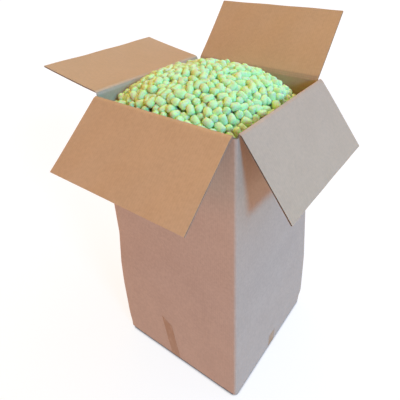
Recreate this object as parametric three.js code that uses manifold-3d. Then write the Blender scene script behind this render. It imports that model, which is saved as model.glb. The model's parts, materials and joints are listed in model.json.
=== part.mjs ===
// An open carton of loose packing peanuts: a tall square slotted box with its four
// top flaps spread, its bottom flaps folded shut and taped, heaped full of foam nuggets.
// Millimetres, +Z up. The origin is the centre of the underside; the front wall faces -Y.

import * as THREE from 'three';
import { mergeVertices } from 'three/addons/utils/BufferGeometryUtils.js';
import Module from 'manifold-3d';

const wasm = await Module();
wasm.setup();

// Carton: driving dimensions
const side = 600; // outside width and depth
const height = 1200; // underside to the fold of the left and right flaps
const board = 5; // corrugated board thickness
const flapLength = side / 2; // the outer flaps of a slotted carton meet in the middle
const slot = 12; // gap cut away at each end of a flap
const foldRadius = 6; // outside radius of a folded corner
const layerGap = 0.5; // between two layers of board that lie on each other
const seamGap = 1; // between two flap ends that meet
const lapWidth = 33; // glued lap that joins the blank's two ends
const arcSteps = 4; // facets round a folded corner

// Top folds: the board is crushed thin along a score, so the hinge line is its outer skin
const scoreDepth = 1.5;
const scoreRun = 8;
const scoreGap = 0.4;
const foldDrop = board + layerGap; // the front and back flaps shut first, so they fold this much lower

// Each top flap: its wall's turn about Z, and its angle at rest (0 shut, 90 upright, 180 flat out)
const topFlaps = [
  { name: 'front_flap', turn: 0, angle: 221.9, drop: foldDrop },
  { name: 'right_flap', turn: 90, angle: 233.8, drop: 0 },
  { name: 'back_flap', turn: 180, angle: 132.3, drop: foldDrop },
  { name: 'left_flap', turn: 270, angle: 170.6, drop: 0 },
];

// Tape: two strips under the box, each let into the board so that the underside stays one plane.
// The seam strip runs front to back over the joint of the outer flaps; the cross strip runs
// side to side over it.
const tapeWidth = 48;
const tapeThickness = 0.3;
const tapeGap = 0.1;
const tapeSeat = 0.2; // clearance between a strip and the board round it
const seamTapeX = -18;
const seamTapeRise = { leftEdge: 238, rightEdge: 206, back: 80 };
const seamTapeLean = 0.14; // sideways run for each unit of rise on the front wall
const crossTapeRise = 78;

// Fill: the heap stands above the rim in the middle and falls away to the corners
const fillMargin = 2;
const fillCorner = 60;
const heapCrown = 79; // peanut tops above the rim at the heap's highest
const heapCentre = new THREE.Vector2(-19, -20);
const heapFall = { x: 109, y: 98, corner: 32 };
const heapPower = { edge: 2.65, corner: 2.07 };
const fillRings = 7;
const fillSectors = 32;

// Peanuts: blunt foam barrels lying on the heap
const peanutDiameter = 28;
const peanutLength = 38;
const peanutGap = 0.4;
const peanutCount = 50;
const peanutSpread = 262;
const peanutSectors = 10;
const peanutProfile = [[0.58, 1], [0.9, 0.66], [1, 0], [0.9, -0.66], [0.58, -1]];

const half = side / 2;
const inner = half - board;
const stripHalf = half - slot;
const wallFoot = foldDrop; // the front and back walls end one layer up, over the outer bottom flaps

const material = (color, roughness) =>
  new THREE.MeshStandardMaterial({ color, roughness, metalness: 0 });
const kraftBoard = material('#b98c74', 0.88);
const kraftFlap = material('#c09670', 0.9);
const brownTape = material('#a5735a', 0.35);
const paleGreenFoam = material('#bfe3a0', 0.8);

const radians = THREE.MathUtils.degToRad;

// Solids: three.js geometry in, manifold-3d joins and cuts, three.js geometry out

function toSolid(geometry) {
  const bare = geometry.clone();
  bare.deleteAttribute('normal');
  bare.deleteAttribute('uv');
  const merged = mergeVertices(bare, 1e-4);
  return new wasm.Manifold(new wasm.Mesh({
    numProp: 3,
    vertProperties: new Float32Array(merged.attributes.position.array),
    triVerts: new Uint32Array(merged.index.array),
  }));
}

function toGeometry(solid) {
  const mesh = solid.getMesh();
  const geometry = new THREE.BufferGeometry();
  geometry.setAttribute('position', new THREE.BufferAttribute(mesh.vertProperties, 3));
  geometry.setIndex(new THREE.BufferAttribute(mesh.triVerts, 1));
  return geometry;
}

function extrude(outline, depth) {
  const shape = new THREE.Shape(outline.map(([x, y]) => new THREE.Vector2(x, y)));
  return new THREE.ExtrudeGeometry(shape, { depth, bevelEnabled: false, steps: 1 });
}

// A (y, z) outline carried along X over a stretch of the given width, centred on x
function acrossWall(outline, width, x = 0) {
  const toWallAxes = new THREE.Matrix4().makeBasis(
    new THREE.Vector3(0, 1, 0),
    new THREE.Vector3(0, 0, 1),
    new THREE.Vector3(1, 0, 0),
  );
  return extrude(outline, width).applyMatrix4(toWallAxes).translate(x - width / 2, 0, 0);
}

function box(min, max) {
  const size = max.map((value, axis) => value - min[axis]);
  const centre = max.map((value, axis) => (value + min[axis]) / 2);
  return new THREE.BoxGeometry(...size).translate(...centre);
}

function arc(cx, cy, radius, from, to, steps = arcSteps) {
  return Array.from({ length: steps + 1 }, (_, step) => {
    const angle = radians(from + ((to - from) * step) / steps);
    return [cx + radius * Math.cos(angle), cy + radius * Math.sin(angle)];
  });
}

// Carton body: one blank, folded round and glued at its lap, its bottom flaps folded in

// Plan of the four walls. The left wall's cut edge meets the back wall's fold, and the
// back wall goes on as the lap, glued inside the left wall.
function wallPlan() {
  const outer = half - foldRadius;
  const innerRadius = foldRadius - board;
  const lapFace = -inner + layerGap;
  const lapFoldX = lapFace + foldRadius;
  const lapEnd = inner - lapWidth;
  return [
    [-half, half - seamGap],
    ...arc(-outer, -outer, foldRadius, 180, 270),
    ...arc(outer, -outer, foldRadius, 270, 360),
    ...arc(outer, outer, foldRadius, 0, 90),
    ...arc(lapFoldX, outer, foldRadius, 90, 180),
    [lapFace, lapEnd],
    [lapFace + board, lapEnd],
    ...arc(lapFoldX, outer, innerRadius, 180, 90),
    ...arc(outer, outer, innerRadius, 90, 0),
    ...arc(outer, -outer, innerRadius, 360, 270),
    ...arc(-outer, -outer, innerRadius, 270, 180),
    [-inner, half - seamGap],
  ];
}

// Section of the front wall's foot and its bottom flap, folded in under the box at level foot
function bottomFoldSection(foot, top) {
  const centreZ = foot + foldRadius;
  const foldY = -half + foldRadius;
  return [
    [-half, top],
    ...arc(foldY, centreZ, foldRadius, 180, 270),
    [-seamGap / 2, foot],
    [-seamGap / 2, foot + board],
    ...arc(foldY, centreZ, foldRadius - board, 270, 180),
    [-inner, top],
  ];
}

// Section of the front wall's top edge, tapered on the inside up to the score at level fold
function topEdgeSection(fold, bottom) {
  return [
    [-half, bottom],
    [-inner, bottom],
    [-inner, fold - scoreRun],
    [-half + scoreDepth, fold - scoreDepth],
    [-half, fold],
  ];
}

function cartonBody() {
  const tubeBottom = wallFoot + foldRadius;
  const tubeTop = height - foldDrop - scoreRun;
  let body = toSolid(extrude(wallPlan(), tubeTop - tubeBottom).translate(0, 0, tubeBottom));
  const overlap = 10;
  for (const { turn, drop } of topFlaps) {
    const strips = [
      acrossWall(bottomFoldSection(drop, tubeBottom + overlap), 2 * stripHalf),
      acrossWall(topEdgeSection(height - drop, tubeTop - overlap), 2 * stripHalf),
    ];
    for (const strip of strips) body = body.add(toSolid(strip.rotateZ(radians(turn))));
  }
  for (const channel of tapeChannels()) body = body.subtract(toSolid(channel));
  return toGeometry(body);
}

// Top flaps: a plain panel whose root is tapered like the wall's edge below it

function flapPanel() {
  const section = [
    [0, scoreGap],
    [0, flapLength],
    [board, flapLength],
    [board, scoreRun],
    [scoreDepth, scoreDepth + scoreGap],
  ];
  return acrossWall(section.reverse(), 2 * stripHalf);
}

function topFlap({ name, turn, angle, drop }) {
  const mesh = new THREE.Mesh(flapPanel(), kraftFlap);
  mesh.name = name;
  const hinge = new THREE.Group();
  hinge.position.set(0, -half, height - drop);
  hinge.rotation.x = radians(angle - 90);
  hinge.add(mesh);
  const wall = new THREE.Group();
  wall.rotation.z = radians(turn);
  wall.add(hinge);
  return wall;
}

// Tape

// Half of a strip's (y, z) section: flat under the box from the middle to the front, then
// round the bottom edge and up the wall. Under the box its inner face is at level seat, and
// outside the wall it is tapeSeat clear of it; grow moves the inner face towards the board.
function tapeHalf({ seat, bend, rise, thickness = tapeThickness, grow = 0 }) {
  const centreY = -half + bend;
  const radius = bend + tapeSeat;
  const centreZ = seat + radius;
  return [
    [0, seat + grow],
    ...arc(centreY, centreZ, radius - grow, 270, 180, 2 * arcSteps),
    [centreY - radius + grow, rise],
    [centreY - radius - thickness, rise],
    ...arc(centreY, centreZ, radius + thickness, 180, 270, 2 * arcSteps),
    [0, seat - thickness],
  ];
}

const crossTapeForm = { seat: tapeThickness, bend: foldRadius };
const seamTapeForm = { seat: 2 * tapeThickness + tapeGap, bend: slot };
const bendTop = ({ seat, bend }) => seat + bend + tapeSeat + tapeGap;

// The shallow channels that the two strips lie in, cut a little larger than the strips
function tapeChannels() {
  const cutWidth = tapeWidth + 2 * tapeSeat;
  const form = { thickness: board, grow: tapeSeat, rise: bendTop(crossTapeForm) };
  const cross = [90, 270].map((turn) =>
    acrossWall(tapeHalf({ ...crossTapeForm, ...form }), cutWidth).rotateZ(radians(turn)));
  const seamDepth = seamTapeForm.seat + tapeSeat;
  const seam = box(
    [seamTapeX - cutWidth / 2, -half, -board],
    [seamTapeX + cutWidth / 2, half, seamDepth],
  );
  return [...cross, seam];
}

function crossTape() {
  const form = { ...crossTapeForm, rise: crossTapeRise };
  const [right, left] = [90, 270].map((turn) =>
    toSolid(acrossWall(tapeHalf(form), tapeWidth).rotateZ(radians(turn))));
  return toGeometry(right.add(left));
}

// The seam strip leans over on the front wall and ends there in a slanting tear
function seamTape() {
  const leanFrom = bendTop(seamTapeForm);
  const [front, back] = [leanFrom, seamTapeRise.back].map((rise, index) =>
    toSolid(acrossWall(tapeHalf({ ...seamTapeForm, rise }), tapeWidth)
      .rotateZ(radians(180 * index)).translate(seamTapeX, 0, 0)));
  const left = seamTapeX - tapeWidth / 2;
  const right = seamTapeX + tapeWidth / 2;
  const leanAt = (x, z) => [x - seamTapeLean * (z - leanFrom), z];
  const outline = [
    [left, leanFrom],
    [right, leanFrom],
    leanAt(right, seamTapeRise.rightEdge),
    leanAt(left, seamTapeRise.leftEdge),
  ];
  const leaning = extrude(outline, tapeThickness).rotateX(radians(90))
    .translate(0, -half - tapeSeat, 0);
  return toGeometry(front.add(back).add(toSolid(leaning)));
}

// Fill

// Height of the peanuts' tops over a point of the plan
function heapTop(x, y) {
  const u = Math.abs(x - heapCentre.x) / half;
  const v = Math.abs(y - heapCentre.y) / half;
  return height + heapCrown
    - heapFall.x * u ** heapPower.edge
    - heapFall.y * v ** heapPower.edge
    - heapFall.corner * (u * v) ** heapPower.corner;
}

// How far a ray from the middle of the plan runs to the edge of the rounded square
function fillReach(angle) {
  const edge = inner - fillMargin;
  const c = Math.abs(Math.cos(angle));
  const s = Math.abs(Math.sin(angle));
  const flat = edge / Math.max(c, s);
  const corner = edge - fillCorner;
  if (flat * Math.min(c, s) <= corner) return flat;
  const along = corner * (c + s);
  return along + Math.sqrt(along ** 2 - 2 * corner ** 2 + fillCorner ** 2);
}

// The packed mass of peanuts as one solid: level below, domed above, one peanut's
// thickness under the tops of those that lie loose on it
function fillBulk() {
  const bottom = wallFoot + board + layerGap;
  const positions = [0, 0, heapTop(0, 0) - peanutDiameter];
  const index = [];
  const ringStart = (ring) => 1 + (ring - 1) * fillSectors;
  for (let ring = 1; ring <= fillRings + 1; ring += 1) {
    const share = Math.min(ring / fillRings, 1);
    for (let sector = 0; sector < fillSectors; sector += 1) {
      const angle = (2 * Math.PI * (sector + 0.5)) / fillSectors;
      const x = share * fillReach(angle) * Math.cos(angle);
      const y = share * fillReach(angle) * Math.sin(angle);
      const z = ring > fillRings ? bottom : heapTop(x, y) - peanutDiameter;
      positions.push(x, y, z);
      const next = (sector + 1) % fillSectors;
      const here = ringStart(ring);
      if (ring === 1) {
        index.push(0, here + sector, here + next);
      } else {
        const inside = ringStart(ring - 1);
        index.push(inside + sector, here + sector, here + next);
        index.push(inside + sector, here + next, inside + next);
      }
    }
  }
  const lowest = ringStart(fillRings + 1);
  const centre = positions.length / 3;
  positions.push(0, 0, bottom);
  for (let sector = 0; sector < fillSectors; sector += 1) {
    index.push(centre, lowest + ((sector + 1) % fillSectors), lowest + sector);
  }
  const geometry = new THREE.BufferGeometry();
  geometry.setAttribute('position', new THREE.Float32BufferAttribute(positions, 3));
  geometry.setIndex(index);
  return geometry;
}

function peanutBarrel(length, radius) {
  const profile = [
    [0, -length / 2],
    ...peanutProfile.map(([r, z]) => [r * radius, (-z * length) / 2]),
    [0, length / 2],
  ];
  profile[1][1] += length * 0.03;
  profile.at(-2)[1] -= length * 0.03;
  const points = profile.map(([r, z]) => new THREE.Vector2(r, z));
  return new THREE.LatheGeometry(points, peanutSectors);
}

// One peanut lying on the heap: its side touches the dome's tangent plane at its place
function loosePeanut(number) {
  const goldenAngle = Math.PI * (3 - Math.sqrt(5));
  const bearing = number * goldenAngle;
  const reach = peanutSpread * Math.sqrt((number + 0.5) / peanutCount);
  const x = reach * Math.cos(bearing);
  const y = reach * Math.sin(bearing);
  const step = 1;
  const normal = new THREE.Vector3(
    heapTop(x - step, y) - heapTop(x + step, y),
    heapTop(x, y - step) - heapTop(x, y + step),
    2 * step,
  ).normalize();
  const scale = 1 + 0.07 * Math.sin(7.3 * number);
  const radius = (peanutDiameter / 2) * scale;
  const heading = 2.6 * number;
  const axis = new THREE.Vector3(Math.cos(heading), Math.sin(heading), 0)
    .projectOnPlane(normal).normalize();
  const mesh = new THREE.Mesh(peanutBarrel(peanutLength * scale, radius), paleGreenFoam);
  mesh.name = `peanut_${String(number + 1).padStart(2, '0')}`;
  mesh.quaternion.setFromUnitVectors(new THREE.Vector3(0, 1, 0), axis);
  mesh.position.set(x, y, heapTop(x, y) - peanutDiameter)
    .addScaledVector(normal, radius + peanutGap);
  return mesh;
}

// Assembly

function part(name, geometry, surface) {
  const mesh = new THREE.Mesh(geometry, surface);
  mesh.name = name;
  return mesh;
}

const carton = new THREE.Group();
carton.add(part('carton_body', cartonBody(), kraftBoard));
for (const flap of topFlaps) carton.add(topFlap(flap));
carton.add(part('seam_tape', seamTape(), brownTape));
carton.add(part('cross_tape', crossTape(), brownTape));
carton.add(part('loose_fill', fillBulk(), paleGreenFoam));
for (let number = 0; number < peanutCount; number += 1) carton.add(loosePeanut(number));

export default carton;
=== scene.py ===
# An open carton of packing peanuts: corrugated board, brown tape and foam nuggets,
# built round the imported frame. Metres, +Z up, the front wall faces -Y.

import bpy
import json
import math
import numpy as np
from mathutils import Matrix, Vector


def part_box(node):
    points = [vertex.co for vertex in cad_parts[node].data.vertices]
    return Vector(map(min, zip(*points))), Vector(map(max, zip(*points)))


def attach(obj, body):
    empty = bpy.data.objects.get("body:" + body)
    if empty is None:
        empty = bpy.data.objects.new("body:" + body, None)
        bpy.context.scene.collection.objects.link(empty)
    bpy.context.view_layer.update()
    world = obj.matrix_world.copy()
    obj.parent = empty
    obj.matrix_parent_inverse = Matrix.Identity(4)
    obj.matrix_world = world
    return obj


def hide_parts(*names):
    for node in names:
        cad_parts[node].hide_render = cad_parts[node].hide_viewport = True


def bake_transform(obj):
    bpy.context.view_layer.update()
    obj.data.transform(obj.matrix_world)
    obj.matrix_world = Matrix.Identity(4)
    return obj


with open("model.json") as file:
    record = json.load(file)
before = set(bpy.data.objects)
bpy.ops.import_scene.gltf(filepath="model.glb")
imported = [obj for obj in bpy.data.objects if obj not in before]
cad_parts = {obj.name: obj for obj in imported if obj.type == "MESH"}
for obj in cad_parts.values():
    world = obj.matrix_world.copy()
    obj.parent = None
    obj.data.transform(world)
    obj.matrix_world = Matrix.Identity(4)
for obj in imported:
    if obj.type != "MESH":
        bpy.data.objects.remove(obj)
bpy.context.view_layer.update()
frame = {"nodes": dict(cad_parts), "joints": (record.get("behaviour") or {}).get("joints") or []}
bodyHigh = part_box("carton_body")[1]
half = bodyHigh.x
rim = bodyHigh.z
mm = 0.001
print("frame loaded: carton", round(2 * half, 3), "wide,", round(rim, 3), "high")


# Camera and light

viewSettings = {
    "place": (0.8286, -1.1154, 1.6788),
    "azimuth": 35.052,
    "elevation": 26.756,
    "roll": -0.72,
    "lens": 35.55,
    "shift": (-0.0587, -0.152),
}


def makeCamera(spec):
    # back points from the carton to the camera; right and up are then turned by the roll
    azimuth, elevation, roll = (math.radians(spec[k]) for k in ("azimuth", "elevation", "roll"))
    back = np.array([
        math.sin(azimuth) * math.cos(elevation),
        -math.cos(azimuth) * math.cos(elevation),
        math.sin(elevation),
    ])
    level = np.array([math.cos(azimuth), math.sin(azimuth), 0.0])
    upright = np.cross(back, level)
    right = math.cos(roll) * level + math.sin(roll) * upright
    up = math.cos(roll) * upright - math.sin(roll) * level
    data = bpy.data.cameras.new("studio_camera")
    data.lens = spec["lens"]
    data.sensor_width = 36
    data.shift_x, data.shift_y = spec["shift"]
    camera = bpy.data.objects.new("studio_camera", data)
    turn = Matrix(np.column_stack([right, up, back]).tolist()).to_4x4()
    camera.matrix_world = Matrix.Translation(spec["place"]) @ turn
    bpy.context.scene.collection.objects.link(camera)
    bpy.context.scene.camera = camera


lightSettings = {
    "key": {"towards": (1, -0.35, 0.43), "colour": (0.06, 0.49, 1.0), "strength": 2.95, "softness": 14},
    "sky": {"towards": (0.6, 0.4, 0.7), "colour": (0.08, 0.42, 1.0), "strength": 2.5, "softness": 80},
    "lamp": {"towards": (-0.15, 0.12, 1), "colour": (1.0, 0.70, 0.07), "strength": 1.93, "softness": 60},
    "wall": {"towards": (-0.2, -1, 0.02), "colour": (1.0, 0.33, 0.10), "strength": 0.6, "softness": 60},
    "room": {"colour": (1.0, 0.27, 0.06), "strength": 0.34},
    "backdrop": (1.0, 1.0, 1.0),
}


def makeSun(name, spec):
    data = bpy.data.lights.new(name, "SUN")
    data.energy = spec["strength"]
    data.color = spec["colour"]
    data.angle = math.radians(spec["softness"])
    lamp = bpy.data.objects.new(name, data)
    x, y, z = spec["towards"]
    lamp.rotation_euler = (math.atan2(math.hypot(x, y), z), 0, math.atan2(x, -y))
    bpy.context.scene.collection.objects.link(lamp)


def makeRoom(spec, backdrop):
    # the room's light, and a plain white behind it for the camera
    world = bpy.data.worlds.new("studio")
    bpy.context.scene.world = world
    world.use_nodes = True
    nodes, links = world.node_tree.nodes, world.node_tree.links
    nodes.clear()
    out = nodes.new("ShaderNodeOutputWorld")
    room = nodes.new("ShaderNodeBackground")
    seen = nodes.new("ShaderNodeBackground")
    mix = nodes.new("ShaderNodeMixShader")
    rays = nodes.new("ShaderNodeLightPath")
    room.inputs["Color"].default_value = (*spec["colour"], 1)
    room.inputs["Strength"].default_value = spec["strength"]
    seen.inputs["Color"].default_value = (*backdrop, 1)
    links.new(rays.outputs["Is Camera Ray"], mix.inputs["Fac"])
    links.new(room.outputs[0], mix.inputs[1])
    links.new(seen.outputs[0], mix.inputs[2])
    links.new(mix.outputs[0], out.inputs["Surface"])


makeCamera(viewSettings)
makeSun("window_light", lightSettings["key"])
makeSun("open_sky", lightSettings["sky"])
makeSun("room_lamp", lightSettings["lamp"])
makeSun("wall_glow", lightSettings["wall"])
makeRoom(lightSettings["room"], lightSettings["backdrop"])
bpy.context.scene.view_settings.view_transform = "Standard"
print("camera and light ready")


# Materials

def newMaterial(name, roughness):
    material = bpy.data.materials.new(name)
    material.use_nodes = True
    shader = material.node_tree.nodes["Principled BSDF"]
    shader.inputs["Roughness"].default_value = roughness
    return material, material.node_tree, shader


def addNode(tree, kind, inputs=None, **settings):
    node = tree.nodes.new(kind)
    for key, value in settings.items():
        setattr(node, key, value)
    for key, value in (inputs or {}).items():
        node.inputs[key].default_value = value
    return node


def noise(tree, vector, scale, detail=3.0, roughness=0.55):
    node = addNode(tree, "ShaderNodeTexNoise",
                   {"Scale": scale, "Detail": detail, "Roughness": roughness})
    tree.links.new(vector, node.inputs["Vector"])
    return node.outputs["Fac"]


def remap(tree, value, low, high, toLow, toHigh):
    node = addNode(tree, "ShaderNodeMapRange",
                   {"From Min": low, "From Max": high, "To Min": toLow, "To Max": toHigh})
    tree.links.new(value, node.inputs["Value"])
    return node.outputs["Result"]


def combine(tree, operation, a, b):
    node = addNode(tree, "ShaderNodeMath", operation=operation)
    for socket, value in zip(node.inputs, (a, b)):
        if isinstance(value, (int, float)):
            socket.default_value = value
        else:
            tree.links.new(value, socket)
    return node.outputs[0]


def mixColours(tree, share, a, b):
    node = addNode(tree, "ShaderNodeMix", data_type="RGBA")
    tree.links.new(share, node.inputs["Factor"])
    for socket, value in zip((node.inputs[6], node.inputs[7]), (a, b)):
        if isinstance(value, tuple):
            socket.default_value = (*value, 1)
        else:
            tree.links.new(value, socket)
    return node.outputs[2]


kraftSettings = {
    "outer": {"pale": (0.56, 0.36, 0.24), "dark": (0.49, 0.31, 0.204), "fibre": (0.36, 0.235, 0.16),
              "rough": (0.80, 0.95), "shine": 0.25},
    "inner": {"pale": (0.56, 0.365, 0.20), "dark": (0.50, 0.32, 0.17), "fibre": (0.40, 0.26, 0.15),
              "rough": (0.50, 0.62), "shine": 0.9},
    # the medium is darker than the liners: partly its own rawer tone, partly painted shade for the
    # board's shaded cut edges
    "medium": {"pale": (0.32, 0.21, 0.13), "dark": (0.22, 0.15, 0.09), "fibre": (0.18, 0.12, 0.07),
               "rough": (0.85, 0.95), "shine": 0.2},
    "mottle": 9.0,
    "grain": 90.0,
    "fibreScale": 420.0,
    "cloudShare": 0.35,  # of the mottle; the rest is grain
    "fibreStretch": 0.22,
    "fibreAmount": 0.6,
    "flutePitch": 8.6 * mm,
    "fluteShade": 0.045,
    "fibreRelief": 0.35,
    "fluteRelief": 0.05,
    "reliefDepth": 0.4 * mm,
    "bump": 0.2,
}


def kraftMaterial(name, tones, spec):
    # Two kraft tones mixed by soft cloudy noise, short dark fibres where a stretched fine
    # noise peaks, and the faint stripes that flutes print through the liner, across the UV map
    material, tree, shader = newMaterial(name, tones["rough"][0])
    links = tree.links
    place = addNode(tree, "ShaderNodeTexCoord").outputs["Object"]
    board = addNode(tree, "ShaderNodeUVMap", uv_map="board").outputs["UV"]
    split = addNode(tree, "ShaderNodeSeparateXYZ")
    links.new(board, split.inputs[0])
    cloud = noise(tree, place, spec["mottle"], 4)
    grain = noise(tree, place, spec["grain"], 2)
    shade = combine(tree, "ADD", combine(tree, "MULTIPLY", cloud, spec["cloudShare"]),
                    combine(tree, "MULTIPLY", grain, 1 - spec["cloudShare"]))
    turns = combine(tree, "MULTIPLY", split.outputs[0], 2 * math.pi / spec["flutePitch"])
    stripe = combine(tree, "SINE", turns, 0)
    striped = combine(tree, "ADD", shade, combine(tree, "MULTIPLY", stripe, spec["fluteShade"]))
    base = mixColours(tree, remap(tree, striped, 0.35, 0.65, 0, 1), tones["dark"], tones["pale"])
    stretch = addNode(tree, "ShaderNodeMapping", {"Scale": (1, spec["fibreStretch"], 1)})
    links.new(board, stretch.inputs["Vector"])
    fibres = noise(tree, stretch.outputs[0], spec["fibreScale"], 2, 0.6)
    peaks = remap(tree, fibres, 0.62, 0.74, 0, spec["fibreAmount"])
    base = mixColours(tree, peaks, base, tones["fibre"])
    links.new(base, shader.inputs["Base Color"])
    links.new(remap(tree, grain, 0.3, 0.7, *tones["rough"]), shader.inputs["Roughness"])
    relief = combine(tree, "ADD", combine(tree, "MULTIPLY", fibres, spec["fibreRelief"]),
                     combine(tree, "MULTIPLY", stripe, spec["fluteRelief"]))
    bump = addNode(tree, "ShaderNodeBump", {"Strength": spec["bump"], "Distance": spec["reliefDepth"]})
    links.new(relief, bump.inputs["Height"])
    links.new(bump.outputs[0], shader.inputs["Normal"])
    shader.inputs["Specular IOR Level"].default_value = tones["shine"]
    return material


kraftOuter = kraftMaterial("kraft_outer", kraftSettings["outer"], kraftSettings)
kraftInner = kraftMaterial("kraft_inner", kraftSettings["inner"], kraftSettings)
# the medium's darker colour is partly painted shade of the board's cut edges
kraftMedium = kraftMaterial("kraft_medium", kraftSettings["medium"], kraftSettings)
boardMaterials = [kraftOuter, kraftInner, kraftMedium]
print("board materials ready")


# Meshes from grids

def slabFaces(rows, columns, outward):
    # Quads of a closed slab from its outer grid and, after it, its inner grid
    index = np.arange(rows * columns).reshape(rows, columns)
    a, b, c, d = index[:-1, :-1], index[1:, :-1], index[1:, 1:], index[:-1, 1:]
    top = np.stack([a, b, c, d], -1).reshape(-1, 4)
    low = top[:, ::-1] + rows * columns
    rimIndex = np.concatenate([index[:-1, 0], index[-1, :-1], index[:0:-1, -1], index[0, :0:-1]])
    after = np.roll(rimIndex, -1)
    sides = np.stack([rimIndex, rimIndex + rows * columns, after + rows * columns, after], -1)
    faces = np.concatenate([top, low, sides])
    return faces if outward else faces[:, ::-1]


def slab(outer, inner, uv, normal):
    # A closed sheet between two grids of points; its faces are turned to point outwards
    rows, columns = outer.shape[:2]
    i, j = rows // 2 - 1, columns // 2 - 1
    facing = np.cross(outer[i + 1, j] - outer[i, j], outer[i, j + 1] - outer[i, j])
    faces = slabFaces(rows, columns, facing @ normal[i, j] > 0)
    points = np.concatenate([outer.reshape(-1, 3), inner.reshape(-1, 3)])
    return points, faces, np.tile(uv.reshape(-1, 2), (2, 1))


def meshFrom(name, parts, materials, smooth=True):
    # parts is a list of (points, faces, uv, material index); the faces are all quads
    points = np.concatenate([p[0] for p in parts])
    starts = np.cumsum([0] + [len(p[0]) for p in parts[:-1]])
    faces = np.concatenate([p[1] + start for p, start in zip(parts, starts)])
    uv = np.concatenate([p[2] for p in parts])
    slots = np.concatenate([np.full(len(p[1]), p[3]) for p in parts])
    mesh = bpy.data.meshes.new(name)
    mesh.from_pydata(points.tolist(), [], faces.tolist())
    layer = mesh.uv_layers.new(name="board")
    corners = np.empty(len(mesh.loops), np.int32)
    mesh.loops.foreach_get("vertex_index", corners)
    layer.data.foreach_set("uv", uv[corners].astype(np.float32).ravel())
    mesh.polygons.foreach_set("material_index", slots.astype(np.int32))
    mesh.polygons.foreach_set("use_smooth", np.full(len(faces), smooth))
    for material in materials:
        mesh.materials.append(material)
    if smooth:
        mesh.set_sharp_from_angle(angle=math.radians(40))
    mesh.update()
    piece = bpy.data.objects.new(name, mesh)
    bpy.context.scene.collection.objects.link(piece)
    return piece


boardSettings = {
    "thickness": 5 * mm,
    "liner": 0.4 * mm,
    "medium": 0.3 * mm,
    "pitch": kraftSettings["flutePitch"],
    "stepsPerFlute": 8,
    "scored": 1.9 * mm,  # board left at the middle of a top fold
    "scoreReach": 5.5 * mm,
}


def corrugated(surface, s, t, spec, mediumT=None):
    # surface(s, t) gives points of the outer face, unit normals and the board's thickness
    # there. Two flat liners lie on its faces, and the medium between them is a sine of s
    # that swings from one liner to the other. mediumT is the stretch of t that it fills.
    gridS, gridT = np.meshgrid(s, t, indexing="ij")
    points, normals, thickness = surface(gridS, gridT)
    uv = np.stack([gridS, gridT], -1)
    depth = thickness[..., None]
    layers = []
    for slot, near, far in ((0, 0 * depth, 0 * depth + spec["liner"]),
                            (1, depth - spec["liner"], depth)):
        layers.append((*slab(points - near * normals, points - far * normals, uv, normals), slot))
    if mediumT is not None:
        flutes = max(1, round((s[-1] - s[0]) / spec["pitch"]))
        fluteS = np.linspace(s[0], s[-1], flutes * spec["stepsPerFlute"] + 1)
        gridS, gridT = np.meshgrid(fluteS, mediumT, indexing="ij")
        points, normals, thickness = surface(gridS, gridT)
        swing = thickness / 2 - spec["liner"] - spec["medium"] / 2
        centre = thickness / 2 + swing * np.sin(2 * math.pi * gridS / spec["pitch"])
        near = (centre - spec["medium"] / 2)[..., None]
        far = (centre + spec["medium"] / 2)[..., None]
        layers.append((*slab(points - near * normals, points - far * normals,
                             np.stack([gridS, gridT], -1), normals), 2))
    return layers


# Carton walls: one run of board round the four corners, and the glued lap inside

wallSettings = {
    "corner": 10 * mm,
    "cut": 19.5 * mm,  # below the rim: where the walls hand over to the flaps' own board
    "foot": 20 * mm,
    "cornerTop": 13 * mm,  # below the rim: where the corners between the slots end
    "cornerFoot": 12 * mm,
    "slot": 12 * mm,
    "lap": 33 * mm,
    "lapGap": 0.5 * mm,
    "cutEdgeGap": 1 * mm,  # between the left wall's cut edge and the back wall's fold
    "bottomFold": 5.5 * mm,
    "bottomScored": 4.6 * mm,
    "bottomGap": 0.5 * mm,  # from each bottom flap's end to the middle of the box
    "lift": 0.7 * mm,  # room for the tape under the box
    "drop": 5.5 * mm,  # the front and back panels fold this much further in
    "raised": 7 * mm,  # how far wear has lifted the front and back folds at their ends
    "raisedPower": 14,
    "belly": 5 * mm,
    "bellyPower": 2.2,  # higher is flatter across the wall
    "bellyRise": 1.5,
    "wave": 0.5 * mm,
    "cornerPower": 3,  # how quickly a corner's shift dies away along its walls
    # the shifts fade out over these runs, so that the board meets the folds where they are
    "footFade": 60 * mm,
    "creaseFade": 100 * mm,
    "topFade": 100 * mm,
    "topStill": 25 * mm,
    # faint upright creases on the right wall: distance from its front corner, depth, width
    "creases": (
        (26 * mm, 0.35 * mm, 5 * mm),
        (64 * mm, 0.5 * mm, 7 * mm),
        (330 * mm, 0.4 * mm, 16 * mm),
    ),
    # how far each corner's edge stands out of the square, in millimetres, at heights in metres
    "edgeHeights": (0.0, 0.12, 0.3, 0.42, 0.58, 0.8, 1.1, 1.2),
    "frontLeft": (0.0, 4, 6, 4, -5, -3, 0, 0),
    "frontRight": (0.0, 1, 2, 0, -2, -1, 0, 0),
    "backRight": (6, 7, 6, 1, -6, -3, 2, 0),
    "backLeft": (0.0, 3, 5, 2, -3, -2, 0, 0),
}


def smoothStep(x):
    x = np.clip(x, 0, 1)
    return x * x * (3 - 2 * x)


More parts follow.
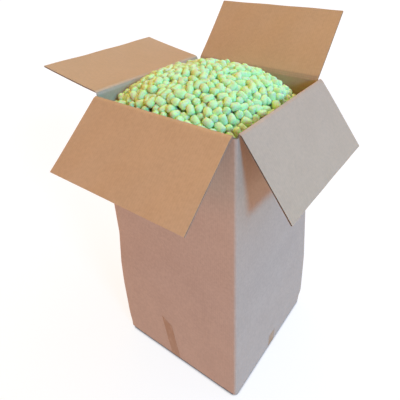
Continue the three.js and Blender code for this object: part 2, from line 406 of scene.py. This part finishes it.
def wallPath(spec):
    # The plan as straight runs and corner arcs, from the left wall's cut edge round by the
    # front to the back wall, and round again into the lap. Each run is (start point,
    # heading, length, radius); a run with a radius turns left through a right angle.
    r = spec["corner"]
    straight = 2 * half - 2 * r
    lapX = -half + boardSettings["thickness"] + spec["lapGap"]
    quarter = r * math.pi / 2
    edge = spec["cutEdgeGap"]
    return [
        ((-half, half - edge), 270, 2 * half - r - edge, 0),
        ((-half, -half + r), 270, quarter, r),
        ((-half + r, -half), 0, straight, 0),
        ((half - r, -half), 0, quarter, r),
        ((half, -half + r), 90, straight, 0),
        ((half, half - r), 90, quarter, r),
        ((half - r, half), 180, half - r - lapX - r, 0),
        ((lapX + r, half), 180, quarter, r),
        ((lapX, half - r), 270, spec["lap"] - r, 0),
    ]


wallRuns = wallPath(wallSettings)
wallStarts = np.cumsum([0] + [run[2] for run in wallRuns])
rightWallStart = wallStarts[4]


def wallPlan(s):
    # Plan point and outward normal at distance s along the path: straight runs keep their
    # heading, arcs turn left about a centre one radius inside
    x, y = np.zeros_like(s), np.zeros_like(s)
    nx, ny = np.zeros_like(s), np.zeros_like(s)
    which = np.clip(np.searchsorted(wallStarts, s, side="right") - 1, 0, len(wallRuns) - 1)
    for index, ((startX, startY), heading, length, radius) in enumerate(wallRuns):
        here = which == index
        along = s[here] - wallStarts[index]
        angle = math.radians(heading)
        if radius:
            turned = angle + along / radius
            centreX, centreY = startX - radius * math.sin(angle), startY + radius * math.cos(angle)
            nx[here], ny[here] = np.sin(turned), -np.cos(turned)
            x[here] = centreX + radius * nx[here]
            y[here] = centreY + radius * ny[here]
        else:
            nx[here], ny[here] = math.sin(angle), -math.cos(angle)
            x[here] = startX + along * math.cos(angle)
            y[here] = startY + along * math.sin(angle)
    return x, y, nx, ny


def fade(z, footRun, spec):
    # 0 at the walls' foot and top and 1 between, rising over footRun from the foot
    low = smoothStep((z - spec["foot"]) / footRun)
    return low * smoothStep((rim - spec["topStill"] - z) / spec["topFade"])


def wallShift(x, y, z, spec):
    # Sideways shift of the board: each corner leans by its own curve up the height, a wall
    # between two corners takes a mix of theirs, and its middle bellies out with the fill
    u, v = x / half, y / half
    weights = {
        "frontLeft": (1 - u) * (1 - v), "frontRight": (1 + u) * (1 - v),
        "backRight": (1 + u) * (1 + v), "backLeft": (1 - u) * (1 + v),
    }
    ends = fade(z, spec["footFade"], spec)
    out = sum(weights[k] / 4 * np.interp(z, spec["edgeHeights"], np.array(spec[k])) for k in weights)
    out = out * mm * ends
    across = sum(np.clip(1 - np.abs(w) ** spec["bellyPower"], 0, 1) for w in (u, v))
    upward = np.sin(math.pi * np.clip(z / rim, 0, 1)) ** spec["bellyRise"]
    belly = spec["belly"] * np.clip(across, 0, 1) * ends * upward
    wave = spec["wave"] * np.sin(7 * z + 9 * x) * np.sin(5 * x - 8 * y + 3 * z) * ends
    shiftX, shiftY = (out * np.sign(w) * np.abs(w) ** spec["cornerPower"] for w in (u, v))
    return shiftX, shiftY, belly + wave


def wallSurface(gridS, gridZ):
    # The upright board of the walls: the plan, shifted, with the creases pressed in
    x, y, nx, ny = wallPlan(gridS)
    shiftX, shiftY, push = wallShift(x, y, gridZ, wallSettings)
    for distance, depth, width in wallSettings["creases"]:
        dip = np.exp(-((gridS - rightWallStart - distance) / width) ** 2)
        push = push - depth * dip * fade(gridZ, wallSettings["creaseFade"], wallSettings)
    points = np.stack([x + shiftX + push * nx, y + shiftY + push * ny, gridZ], -1)
    normals = np.stack([nx, ny, 0 * nx], -1)
    return points, normals, np.full(gridS.shape, boardSettings["thickness"])


def wallColumns(spec):
    # s values: even steps on each straight run and arc, and closer ones across the creases
    steps = [np.linspace(wallStarts[i], wallStarts[i + 1], (24 if not run[3] else 8) + 1)
             for i, run in enumerate(wallRuns)]
    steps += [rightWallStart + distance + width * np.linspace(-2, 2, 9)
              for distance, depth, width in spec["creases"]]
    return np.unique(np.concatenate(steps).round(7))


def foldedStrip(turn, level, bend, s, t):
    # The strip of one wall that crosses a fold: t runs along the board, 0 at the middle of
    # the bend. bend is the turn in degrees away from the carton's inside, negative for a
    # fold under the box. Before the bend the board is upright and after it lies at the turn.
    theta = abs(math.radians(bend["angle"]))
    inward = bend["angle"] < 0
    r = bend["radius"]
    arc, tangent = r * theta, r * math.tan(theta / 2)
    alpha = np.clip((t + arc / 2) / r, 0, theta)
    before = np.minimum(t + arc / 2, 0)
    after = np.maximum(t - arc / 2, 0)
    side = -1.0 if inward else 1.0  # a fold under the box is walked downwards
    out = side * r * (1 - np.cos(alpha)) + side * after * math.sin(theta)
    up = -tangent + r * np.sin(alpha) + before + after * math.cos(theta)
    normalOut, normalUp = np.cos(alpha), -side * np.sin(alpha)
    warp = bend["warp"](s, after) if "warp" in bend else 0.0
    out = out + warp * normalOut
    z = level + side * (up + warp * normalUp)
    if "raised" in bend:
        worn = bend["raised"] * (np.abs(s) / half) ** wallSettings["raisedPower"]
        foot = wallSettings["foot"]
        z = z + worn * np.clip((foot - z) / (foot - level), 0, 1)
    thickness = boardSettings["thickness"]
    thin = (thickness - bend["scored"]) * np.exp(-(t / boardSettings["scoreReach"]) ** 2)
    local = np.stack([s, -half - out, z], -1)
    normal = np.stack([0 * s, -normalOut, side * normalUp], -1)
    cosine, sine = math.cos(math.radians(turn)), math.sin(math.radians(turn))
    spin = np.array([[cosine, -sine, 0], [sine, cosine, 0], [0, 0, 1]])
    return local @ spin.T, normal @ spin.T, thickness - thin


def cartonWalls(spec):
    # The walls between the folds, the corners above and below them, and the bottom flaps
    z = np.linspace(spec["foot"], rim - spec["cut"], 61)
    s = wallColumns(spec)
    layers = corrugated(wallSurface, s, z, boardSettings)
    # the corners between the slots, with the flutes open at their cut ends
    for index, run in enumerate(wallRuns):
        if not run[3]:
            continue
        reach = spec["slot"] - run[3]
        s = np.linspace(wallStarts[index] - reach, wallStarts[index + 1] + reach, 13)
        top = np.linspace(rim - spec["cut"], rim - spec["cornerTop"], 4)
        low = np.linspace(spec["cornerFoot"], spec["foot"], 4)
        layers += corrugated(wallSurface, s, top, boardSettings, mediumT=top)
        layers += corrugated(wallSurface, s, low, boardSettings, mediumT=low)
    # the bottom flaps: the front and back pair first, the side pair shut over them
    for turn in (0, 180, 90, 270):
        inside = turn in (0, 180)
        level = spec["drop"] + spec["lift"] if inside else spec["lift"]
        bend = {"angle": -90, "radius": spec["bottomFold"], "scored": spec["bottomScored"],
                "raised": spec["raised"] if inside else 0.0}
        tangent, arc = bend["radius"], bend["radius"] * math.pi / 2
        first = level + tangent - spec["foot"] - arc / 2
        last = half - tangent + arc / 2 - spec["bottomGap"]
        t = np.concatenate([[first], np.linspace(-arc / 2, arc / 2, 9), np.linspace(0.01, last, 9)])
        s = np.linspace(-half + spec["slot"], half - spec["slot"], 9)

        def folded(gridS, gridT, turn=turn, level=level, bend=bend):
            return foldedStrip(turn, level, bend, gridS, gridT)
        layers += corrugated(folded, s, np.unique(t), boardSettings, mediumT=np.linspace(0.01, last, 3))
    walls = meshFrom("carton_walls", layers, boardMaterials)
    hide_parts("carton_body")
    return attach(walls, "root")


cartonWalls(wallSettings)
print("carton walls made")


# Top flaps: each is the upper edge of its wall, the scored fold and the flap in one

flapSettings = {
    # turn in degrees, the rest in millimetres out of the flat
    "front_flap": {"turn": 0, "tip": -3.5, "twist": 0.5, "bow": 1.5, "curl": -2.0, "wave": 0.8},
    "right_flap": {"turn": 90, "tip": 0.0, "twist": -3.0, "bow": -2.0, "curl": 1.5, "wave": 0.7},
    "back_flap": {"turn": 180, "tip": -6.0, "twist": 0.0, "bow": 2.0, "curl": -1.0, "wave": 1.0},
    "left_flap": {"turn": 270, "tip": 0.0, "twist": 2.5, "bow": 2.5, "curl": 2.0, "wave": 0.8},
}
foldRadius = 0.8 * mm


def flapAngle(name, joint, turn):
    # degrees that the flap has turned outwards from upright, from the frame's own flap
    mesh = frame["nodes"][name].data
    points = np.empty(len(mesh.vertices) * 3)
    mesh.vertices.foreach_get("co", points)
    points = points.reshape(-1, 3) - np.array(joint["pos_m"])
    outward = np.array([math.sin(math.radians(turn)), -math.cos(math.radians(turn))])
    flat = np.stack([points[:, :2] @ outward, points[:, 2]], -1)
    far = flat[np.argsort(-np.hypot(*flat.T))[:4]].mean(0)
    length = np.hypot(*far)
    lean = math.asin(min(1.0, boardSettings["thickness"] / length))
    return math.degrees(math.atan2(far[0], far[1]) + lean)


def topFlap(name, spec):
    # The board from the wall's cut up to the fold, round it and out to the flap's free edge,
    # with close steps at the fold and wider ones away from it
    joint = next(j for j in frame["joints"] if j["child"] == name)
    level = joint["pos_m"][2]
    angle = flapAngle(name, joint, spec["turn"])
    length = half

    def warp(s, after):
        # a shallow bow along the flap, a curl across it and a slow wave, none of it at the fold
        v = after / length
        across = s / half
        edge = spec["tip"] * v ** 1.5 + spec["twist"] * across * v
        bow = spec["bow"] * v * (1 - v) * 3
        curl = spec["curl"] * v ** 2 * (1 - 3 * across ** 2) / 2
        wave = spec["wave"] * v * np.sin(9 * across + 5 * v + spec["turn"])
        return mm * (edge + bow + curl + wave)

    bend = {"angle": angle, "radius": foldRadius, "scored": boardSettings["scored"], "warp": warp}
    theta = math.radians(angle)
    arc, tangent = foldRadius * theta, foldRadius * math.tan(theta / 2)
    first = -(level - (rim - wallSettings["cut"])) + tangent - arc / 2
    last = length - tangent + arc / 2
    bendT = np.linspace(-arc / 2, arc / 2, 13)
    nearT = arc / 2 + np.geomspace(1 * mm, 16 * mm, 9)
    farT = np.linspace(22 * mm, last, 16)
    t = np.concatenate([np.linspace(first, -arc / 2, 11), bendT, nearT, farT])
    s = np.linspace(-half + wallSettings["slot"], half - wallSettings["slot"], 49)

    def folded(gridS, gridT):
        return foldedStrip(spec["turn"], level, bend, gridS, gridT)

    layers = corrugated(folded, s, np.unique(t), boardSettings,
                        mediumT=np.concatenate([[6 * mm, 12 * mm], np.linspace(30 * mm, last, 9)]))
    flap = meshFrom(name + "_board", layers, boardMaterials)
    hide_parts(name)
    print(name, "turned out", round(angle, 1), "degrees from upright")
    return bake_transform(flap)


for flapName, flapSpec in flapSettings.items():
    topFlap(flapName, flapSpec)
print("flaps made")


# Tape: brown film along the bottom seam and up the walls, and a short strip across it

tapeSettings = {
    "half": 24 * mm,
    "film": 0.15 * mm,
    "clear": 0.2 * mm,  # between the wall and the film's inner face
    "seamX": -18 * mm,
    "seamBend": 12 * mm,
    "seamLevel": 0.6 * mm,
    "crossBend": 6 * mm,
    "crossLevel": 0.15 * mm,
    "steps": {"width": 16, "flat": 24, "bend": 8, "wall": 60},
    "lean": 0.14,  # the seam strip wanders sideways by this much of its rise on the front wall
    "leftRise": 238 * mm,
    "rightRise": 206 * mm,
    "backRise": 80 * mm,
    "crossRise": 78 * mm,
    "ragged": 2.2 * mm,
    "wrinkle": 0.12 * mm,
    "colour": (0.375, 0.165, 0.062),
    "loose": (0.45, 0.235, 0.115),
    "rough": 0.38,
    "shine": 0.25,
}


def tapeMaterial(spec):
    # Glossy brown film, paler where long soft noise lets it stand off the board
    material, tree, shader = newMaterial("brown_tape", spec["rough"])
    place = addNode(tree, "ShaderNodeTexCoord").outputs["Object"]
    stretch = addNode(tree, "ShaderNodeMapping", {"Scale": (1, 1, 0.3)})
    tree.links.new(place, stretch.inputs["Vector"])
    blotch = noise(tree, stretch.outputs[0], 70, 3, 0.6)
    share = remap(tree, blotch, 0.5, 0.68, 0, 1)
    base = mixColours(tree, share, spec["colour"], spec["loose"])
    tree.links.new(base, shader.inputs["Base Color"])
    shader.inputs["Specular IOR Level"].default_value = spec["shine"]
    bump = addNode(tree, "ShaderNodeBump", {"Strength": 0.35, "Distance": 0.6 * mm})
    tree.links.new(blotch, bump.inputs["Height"])
    tree.links.new(bump.outputs[0], shader.inputs["Normal"])
    return material


brownTape = tapeMaterial(tapeSettings)


def tapeStrip(name, middle, along, bend, level, rises, lean, spec):
    # One strip lying under the box and up two walls. Its path, from the box's middle, is
    # flat, then a quarter arc, then straight up; rises(s, front) is where it ends. along
    # is 1 for a strip that runs from back to front and 0 for one that runs across.
    steps = spec["steps"]
    gridS = np.linspace(-spec["half"], spec["half"], steps["width"] + 1)[:, None]
    reach, radius = half - bend, bend + spec["clear"]
    quarter = radius * math.pi / 2
    top = level + radius
    flat = np.linspace(0, reach, steps["flat"] + 1)
    angle = np.linspace(0, math.pi / 2, steps["bend"] + 1)[1:]
    wall = np.linspace(0, 1, steps["wall"] + 1)[1:]

    def joinRows(under, bend, up):
        # the same row under the box and round the bend for every s, then the wall's own part
        row = np.concatenate([under, bend])
        start = np.tile(row, (len(gridS), 1))
        return np.concatenate([start, up + np.zeros((len(gridS), len(wall)))], 1)

    def side(front):
        climb = wall * (rises(gridS, front) - top)
        run = joinRows(flat, reach + radius * np.sin(angle), reach + radius)
        rise = joinRows(0 * flat + level, level + radius * (1 - np.cos(angle)), top + climb)
        outX = joinRows(0 * flat, np.sin(angle), 1)
        outZ = joinRows(0 * flat - 1, -np.cos(angle), 0)
        length = joinRows(flat, reach + radius * angle, reach + quarter + climb)
        return run, rise, outX, outZ, length

    front, back = side(True), side(False)
    joined = [np.concatenate([b[:, :0:-1] * sign, f], 1)
              for b, f, sign in zip(back, front, (-1, 1, -1, 1, -1))]
    run, z, out, down, length = joined
    across = middle + gridS + 0 * run - lean * np.maximum(z - top, 0) * (run > 0)
    x, y = (across, -run) if along else (run, across)
    shiftX, shiftY, push = wallShift(x, y, z, wallSettings)
    face = np.sign(run) * smoothStep((z - top) / 0.01)
    x = x + shiftX + (0 if along else 1) * push * face
    y = y + shiftY - (1 if along else 0) * push * face
    normal = np.stack([0 * out, -out, down] if along else [out, 0 * out, down], -1)
    ripple = np.sin(length * 190 + 40 * gridS) * np.sin(gridS * 230 + 3)
    ripple = ripple + np.sin(length * 71 - 90 * gridS)
    lifted = (0.5 + 0.25 * ripple) * spec["wrinkle"] * smoothStep((z - top) / 0.02)
    inner = np.stack([x, y, z], -1) + lifted[..., None] * normal
    outer = inner + spec["film"] * normal
    part = slab(outer, inner, np.stack([gridS + 0 * length, length], -1), normal)
    strip = meshFrom(name, [(*part, 0)], [brownTape])
    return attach(strip, "root")


def seamRises(s, front):
    # level at the back, and a slanting ragged tear at the front
    spec = tapeSettings
    if not front:
        return spec["backRise"] + 0 * s
    share = (s / spec["half"] + 1) / 2
    torn = np.sin(s * 700) + 0.6 * np.sin(s * 1700 + 1) + 0.4 * np.sin(s * 3100)
    slant = spec["leftRise"] + (spec["rightRise"] - spec["leftRise"]) * share ** 0.8
    return slant + spec["ragged"] * torn / 2


def crossRises(s, front):
    return tapeSettings["crossRise"] + 0 * s


seamStrip = tapeStrip("seam_tape_film", tapeSettings["seamX"], 1, tapeSettings["seamBend"],
                      tapeSettings["seamLevel"], seamRises, tapeSettings["lean"], tapeSettings)
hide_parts("seam_tape")
crossStrip = tapeStrip("cross_tape_film", 0.0, 0, tapeSettings["crossBend"],
                       tapeSettings["crossLevel"], crossRises, 0.0, tapeSettings)
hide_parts("cross_tape")
print("tapes made")


# Fill: loose foam peanuts settled over a lumpy core that only shows in the gaps, coloured with a painted
# shade of green

fillSettings = {
    "seed": 11,
    "count": 930,
    "depth": 74 * mm,
    "radius": 13.3 * mm,
    "reach": 4.4 * mm,  # from a peanut's middle to the centre of each rounded end
    "sizes": (0.92, 1.13),
    "edgeGap": 22 * mm,  # the peanuts start at least this far inside the walls' outer faces
    "startUnder": 14 * mm,
    "rounds": 120,
    "listEvery": 6,  # rounds between two searches for neighbours
    "neighbour": 42 * mm,
    "yield": 0.28,  # share of an overlap that each of two spheres gives way by in a round
    "home": 0.45,  # how strongly the frame's own peanuts are drawn back to their places
    "sink": 0.25 * mm,
    "lumps": 6 * mm,
    "sunk": 5 * mm,  # the surface that the peanuts stray about lies this far under the highest
    "stray": 7 * mm,  # how far one peanut may stand above or below the heap's surface
    "crown": 79 * mm,
    "centre": (-19 * mm, -20 * mm),
    "fall": (109 * mm, 98 * mm, 32 * mm),
    "edgePower": 2.65,
    "cornerPower": 2.07,
    "coreHalf": 0.29,
    "coreFootHalf": 0.283,
    "coreUnder": 58 * mm,
    "coreFoot": 12.5 * mm,
    "coreLumps": 0.6,
    "colour": (0.60, 0.83, 0.37),
    "warmColour": (0.68, 0.83, 0.37),
    # painted shade: a deeper, more saturated green than the peanuts, for the shade and green bounce
    # light in the gaps between them
    "paintedGapShade": (0.42, 0.83, 0.18),
    "glow": 0.8,  # light that passes through the foam
    "glowRadius": (0.4, 1.0, 0.3),
    "glowDepth": 10 * mm,
}


def heapTop(x, y, spec):
    # the heap is highest near the middle and falls away ever faster towards the walls
    u = np.abs(x - spec["centre"][0]) / half
    v = np.abs(y - spec["centre"][1]) / half
    fallX, fallY, fallCorner = spec["fall"]
    edges = fallX * u ** spec["edgePower"] + fallY * v ** spec["edgePower"]
    return rim + spec["crown"] - edges - fallCorner * (u * v) ** spec["cornerPower"]


def heapLumps(x, y, spec):
    # three crossing waves, scaled to about the lumps' height
    broad = np.sin(23 * x + 2) * np.sin(19 * y + 1)
    fine = 0.7 * np.sin(41 * x - 31 * y) + 0.5 * np.sin(52 * y + 9 * x)
    return spec["lumps"] * (broad + fine) / 1.6


def framePeanuts():
    # middle and long axis of every loose peanut of the frame, from the spread of its points
    middles, axes = [], []
    for name in sorted(n for n in frame["nodes"] if n.startswith("peanut_")):
        node = frame["nodes"][name]
        points = np.empty(len(node.data.vertices) * 3)
        node.data.vertices.foreach_get("co", points)
        points = points.reshape(-1, 3)
        middle = (points.min(0) + points.max(0)) / 2
        spread = np.linalg.eigh(np.cov((points - middle).T))[1]
        middles.append(middle)
        axes.append(spread[:, 2])
    return np.array(middles), np.array(axes)


def settlePeanuts(spec):
    # Each peanut is two equal spheres. Overlapping spheres push each other apart, the walls,
    # the core and the heap's surface push back, and a little weight pulls everything down.
    random = np.random.default_rng(spec["seed"])
    fixedPlace, fixedAxis = framePeanuts()
    fixedPlace[:, 2] -= 0.7 * spec["sunk"]
    fixed, count = len(fixedPlace), spec["count"]
    span = half - spec["edgeGap"]
    flat = random.uniform(-span, span, (count, 2))
    sunkBy = spec["startUnder"] + random.uniform(0, spec["depth"] - 20 * mm, count)
    height = heapTop(flat[:, 0], flat[:, 1], spec) - sunkBy
    axis = random.normal(size=(count, 3))
    axis /= np.linalg.norm(axis, axis=1, keepdims=True)
    size = np.concatenate([np.ones(fixed), random.uniform(*spec["sizes"], count)])
    place = np.concatenate([fixedPlace, np.column_stack([flat, height])])
    axis = np.concatenate([fixedAxis, axis])
    radius, reach = spec["radius"] * size, spec["reach"] * size
    sphereRadius = np.tile(radius, 2)
    total = fixed + count
    stray = np.tile(random.uniform(-1, 1, total) * spec["stray"], 2)
    owner = np.tile(np.arange(total), 2)
    for step in range(spec["rounds"]):
        ends = np.concatenate([place + reach[:, None] * axis, place - reach[:, None] * axis])
        if step % spec["listEvery"] == 0:
            gap = ((ends[:, None, :] - ends[None, :, :]) ** 2).sum(-1)
            near = np.triu(gap < spec["neighbour"] ** 2, 1)
            first, second = np.nonzero(near & (owner[:, None] != owner[None, :]))
        apart = ends[first] - ends[second]
        distance = np.linalg.norm(apart, axis=1) + 1e-9
        overlap = np.maximum(sphereRadius[first] + sphereRadius[second] - distance, 0)
        push = spec["yield"] * (overlap / distance)[:, None] * apart
        shift = np.zeros_like(ends)
        np.add.at(shift, first, push)
        np.add.at(shift, second, -push)
        ends = ends + shift
        ends[:, 2] -= spec["sink"]
        x, y = ends[:, 0], ends[:, 1]
        wall = half - boardSettings["thickness"] - sphereRadius
        ends[:, 0], ends[:, 1] = np.clip(x, -wall, wall), np.clip(y, -wall, wall)
        surface = heapTop(x, y, spec)
        high = surface - spec["sunk"] + heapLumps(x, y, spec) + stray - sphereRadius
        low = surface - spec["depth"] + sphereRadius
        ends[:, 2] = np.clip(ends[:, 2], low, high)
        upper, lower = ends[:total], ends[total:]
        place = (upper + lower) / 2
        place[:fixed] += spec["home"] * (fixedPlace - place[:fixed])
        axis = upper - lower
        axis /= np.linalg.norm(axis, axis=1, keepdims=True) + 1e-12
    strayed = np.linalg.norm(place[:fixed] - fixedPlace, axis=1)
    print("the frame's own peanuts moved by", round(1000 * float(strayed.mean()), 1), "mm on average")
    worst = round(1000 * float(overlap.max()), 1)
    print("peanuts settled:", total, "with a worst overlap of", worst, "mm")
    return place, axis, size, random


peanutSettings = {
    "profile": ((0.66, 0.95), (0.94, 0.74), (1.0, 0.3)),  # the upper half, in radii and half lengths
    "sectors": 10,
    "wide": (0.98, 1.1),
    "deep": (0.9, 1.04),
    "long": (0.96, 1.08),
    "bent": 0.08,
    "bumps": 0.03,
}


def peanutTemplate(spec):
    # A short barrel with well rounded ends: rings of points about its axis, with a pole at
    # each end
    upper = np.array(spec["profile"])
    rings = np.concatenate([upper, upper[::-1] * (1, -1)])
    sectors = spec["sectors"]
    angle = np.arange(sectors) * 2 * math.pi / sectors
    circle = np.stack([np.cos(angle), np.sin(angle)], -1)
    heights = np.broadcast_to(rings[:, None, 1:], (len(rings), sectors, 1))
    body = np.concatenate([rings[:, None, :1] * circle[None], heights], -1).reshape(-1, 3)
    points = np.concatenate([body, [[0, 0, 1.0], [0, 0, -1.0]]])
    index = np.arange(len(body)).reshape(len(rings), sectors)
    right = np.roll(index, -1, 1)
    bands = np.stack([index[:-1], index[1:], right[1:], right[:-1]], -1).reshape(-1, 4)
    top, bottom = len(body), len(body) + 1
    capTop = np.stack([0 * index[0] + top, index[0], right[0]], -1)
    capLow = np.stack([0 * index[-1] + bottom, right[-1], index[-1]], -1)
    return points, bands, np.concatenate([capTop, capLow])


def foamMaterial(name, spec, plain):
    # Matt foam: each peanut has its own share of a warmer green, and fine cells in relief; the plain
    # core's colour is painted shade of the gaps between peanuts
    material, tree, shader = newMaterial(name, 0.85)
    place = addNode(tree, "ShaderNodeTexCoord").outputs["Object"]
    cells = noise(tree, place, 520, 2, 0.5)
    if plain:
        # the core takes the painted shade of the gaps, not the foam's own colour
        shader.inputs["Base Color"].default_value = (*spec["paintedGapShade"], 1)
    else:
        own = addNode(tree, "ShaderNodeAttribute", attribute_name="tint").outputs["Fac"]
        base = mixColours(tree, own, spec["colour"], spec["warmColour"])
        tree.links.new(base, shader.inputs["Base Color"])
        shader.inputs["Subsurface Weight"].default_value = spec["glow"]
        shader.inputs["Subsurface Radius"].default_value = spec["glowRadius"]
        shader.inputs["Subsurface Scale"].default_value = spec["glowDepth"]
    bump = addNode(tree, "ShaderNodeBump", {"Strength": 0.3, "Distance": 0.5 * mm})
    tree.links.new(cells, bump.inputs["Height"])
    tree.links.new(bump.outputs[0], shader.inputs["Normal"])
    shader.inputs["Specular IOR Level"].default_value = 0.3
    return material


def peanutHeap(spec, form):
    # The template, stretched and bent a little differently for every peanut, then turned
    # to its axis and put in its place
    place, axis, size, random = settlePeanuts(spec)
    points, bands, caps = peanutTemplate(form)
    count = len(place)
    side = np.cross(axis, random.normal(size=(count, 3)))
    side /= np.linalg.norm(side, axis=1, keepdims=True)
    third = np.cross(axis, side)
    wide = spec["radius"] * size * random.uniform(*form["wide"], count)
    deep = wide * random.uniform(*form["deep"], count)
    long = (spec["radius"] + spec["reach"]) * size * random.uniform(*form["long"], count)
    bent = random.uniform(-form["bent"], form["bent"], count)
    bumps = 1 + random.normal(0, form["bumps"], (count, len(points)))
    bow = (bent * wide)[:, None] * (points[None, :, 2] ** 2 - 0.4)
    x = points[None, :, 0] * bumps * wide[:, None] + bow
    y = points[None, :, 1] * bumps * deep[:, None]
    z = points[None, :, 2] * long[:, None]
    world = (place[:, None] + x[..., None] * side[:, None] + y[..., None] * third[:, None]
             + z[..., None] * axis[:, None])
    offsets = (np.arange(count) * len(points))[:, None, None]
    quads = (bands[None] + offsets).reshape(-1, 4)
    threes = (caps[None] + offsets).reshape(-1, 3)
    mesh = bpy.data.meshes.new("foam_peanuts")
    mesh.from_pydata(world.reshape(-1, 3).tolist(), [], quads.tolist() + threes.tolist())
    mesh.polygons.foreach_set("use_smooth", np.ones(len(mesh.polygons), bool))
    tint = mesh.attributes.new("tint", "FLOAT", "POINT")
    own = np.repeat(random.uniform(0, 1, count), len(points))
    tint.data.foreach_set("value", own.astype(np.float32))
    mesh.materials.append(foamMaterial("green_foam", spec, False))
    mesh.update()
    heap = bpy.data.objects.new("foam_peanuts", mesh)
    bpy.context.scene.collection.objects.link(heap)
    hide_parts(*sorted(n for n in frame["nodes"] if n.startswith("peanut_")))
    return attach(heap, "root")


def fillCore(spec):
    # A closed lump that follows the heap one layer of peanuts down, coloured with the painted shade of
    # the gaps
    edge = np.linspace(-1, 1, 41)
    gridX, gridY = np.meshgrid(edge, edge, indexing="ij")
    x, y = spec["coreHalf"] * gridX, spec["coreHalf"] * gridY
    top = heapTop(x, y, spec) - spec["coreUnder"] + spec["coreLumps"] * heapLumps(x, y, spec)
    upper = np.stack([x, y, top], -1)
    foot = spec["coreFootHalf"]
    lower = np.stack([foot * gridX, foot * gridY, 0 * gridX + spec["coreFoot"]], -1)
    up = np.zeros(gridX.shape + (3,))
    up[..., 2] = 1
    part = slab(upper, lower, np.stack([gridX, gridY], -1), up)
    core = meshFrom("fill_core", [(*part, 0)], [foamMaterial("green_foam_core", spec, True)])
    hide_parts("loose_fill")
    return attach(core, "root")


peanutHeap(fillSettings, peanutSettings)
fillCore(fillSettings)
print("fill made")


# Floor

floorSettings = {
    "half": 40.0,
    "grey": 0.16,
    "rough": 0.9,
    "glow": 0.86,
    # reach and range of the painted contact shadow cut into the floor's glow
    "paintedShadowReach": 30 * mm,
    "paintedShadowRange": (0.35, 0.62),
}


def makeFloor(spec):
    h = spec["half"]
    mesh = bpy.data.meshes.new("floor")
    mesh.from_pydata([(-h, -h, 0), (h, -h, 0), (h, h, 0), (-h, h, 0)], [], [(0, 1, 2, 3)])
    floor = bpy.data.objects.new("floor", mesh)
    material, tree, shader = newMaterial("pale_floor", spec["rough"])
    shader.inputs["Base Color"].default_value = (spec["grey"], spec["grey"], spec["grey"], 1)
    shader.inputs["Emission Color"].default_value = (1, 1, 1, 1)
    # painted contact shadow: ambient occlusion turns the floor's even glow down where the box overhangs
    # it closely
    # the occlusion mask of the painted contact shadow
    cover = addNode(tree, "ShaderNodeAmbientOcclusion", {"Distance": spec["paintedShadowReach"]})
    glow = remap(tree, cover.outputs["AO"], *spec["paintedShadowRange"], 0, spec["glow"])
    tree.links.new(glow, shader.inputs["Emission Strength"])
    mesh.materials.append(material)
    bpy.context.scene.collection.objects.link(floor)


makeFloor(floorSettings)
print("floor made")

print("done")
